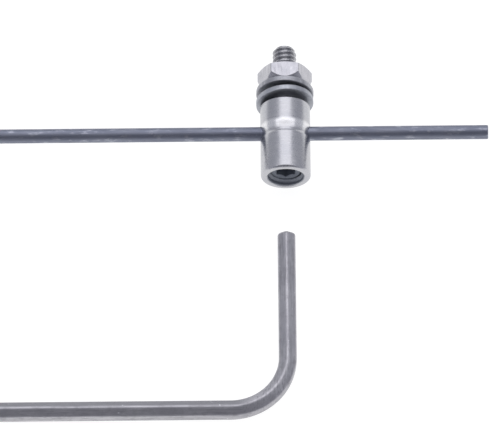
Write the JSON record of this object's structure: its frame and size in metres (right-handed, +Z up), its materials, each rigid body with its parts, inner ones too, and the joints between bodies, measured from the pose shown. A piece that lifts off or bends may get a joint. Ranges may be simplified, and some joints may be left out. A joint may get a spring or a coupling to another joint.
{
  "type": "push rod connector set",
  "caption": "Turned linkage stopper with a threaded stud, nut and loose washers, gripping a wire push rod by a grub screw, with the hex key that turns it.",
  "frame": {"origin": "centre of the flat tip of the threaded stud", "axes": "+Y out along the stud and away from the barrel, +X along the push rod towards its short side, +Z up from the surface that the set lies on"},
  "size_m": [0.0621, 0.0346, 0.0049],
  "materials": {
    "turned_barrel": "fine turned, bright satin",
    "plated_nut": "bright zinc, satin",
    "plated_washer": "blue-grey zinc, satin",
    "drawn_wire": "dark drawn wire, lightly pitted",
    "black_screw": "blackened steel",
    "key_steel": "dark satin steel, nicked"
  },
  "bodies": {
    "barrel": {"barrel": "turned_barrel"},
    "nut": {"nut": "plated_nut"},
    "upper_washer": {"upper_washer": "plated_washer"},
    "lower_washer": {"lower_washer": "plated_washer"},
    "push_rod": {"push_rod": "drawn_wire"},
    "set_screw": {"set_screw": "black_screw"},
    "hex_key": {"hex_key": "key_steel"}
  },
  "joints": [
    {"name": "push_rod_slide", "type": "slide", "parent": "barrel", "child": "push_rod", "axis": [1, 0, 0], "range_m": [-0.014, 0.04]},
    {"name": "set_screw_turn", "type": "hinge", "parent": "barrel", "child": "set_screw", "pos_m": [0, -0.0122, 0], "axis": [0, -1, 0], "range_deg": [0, 360]},
    {"name": "hex_key_insert", "type": "slide", "parent": "set_screw", "child": "hex_key", "axis": [0, 1, 0], "range_m": [0, 0.0072]},
    {"name": "upper_washer_travel", "type": "slide", "parent": "barrel", "child": "upper_washer", "axis": [0, 1, 0], "range_m": [0, 0.0016]},
    {"name": "nut_turn", "type": "hinge", "parent": "upper_washer", "child": "nut", "pos_m": [0, -0.00555, 0], "axis": [0, 1, 0], "range_deg": [0, 1440]},
    {"name": "lower_washer_turn", "type": "hinge", "parent": "barrel", "child": "lower_washer", "pos_m": [0, -0.00555, 0], "axis": [0, 1, 0], "range_deg": [-95, 30]}
  ],
  "couplings": [
    {"joint": "nut_turn", "follows": "upper_washer_travel", "rad_per_m": 15708}
  ]
}
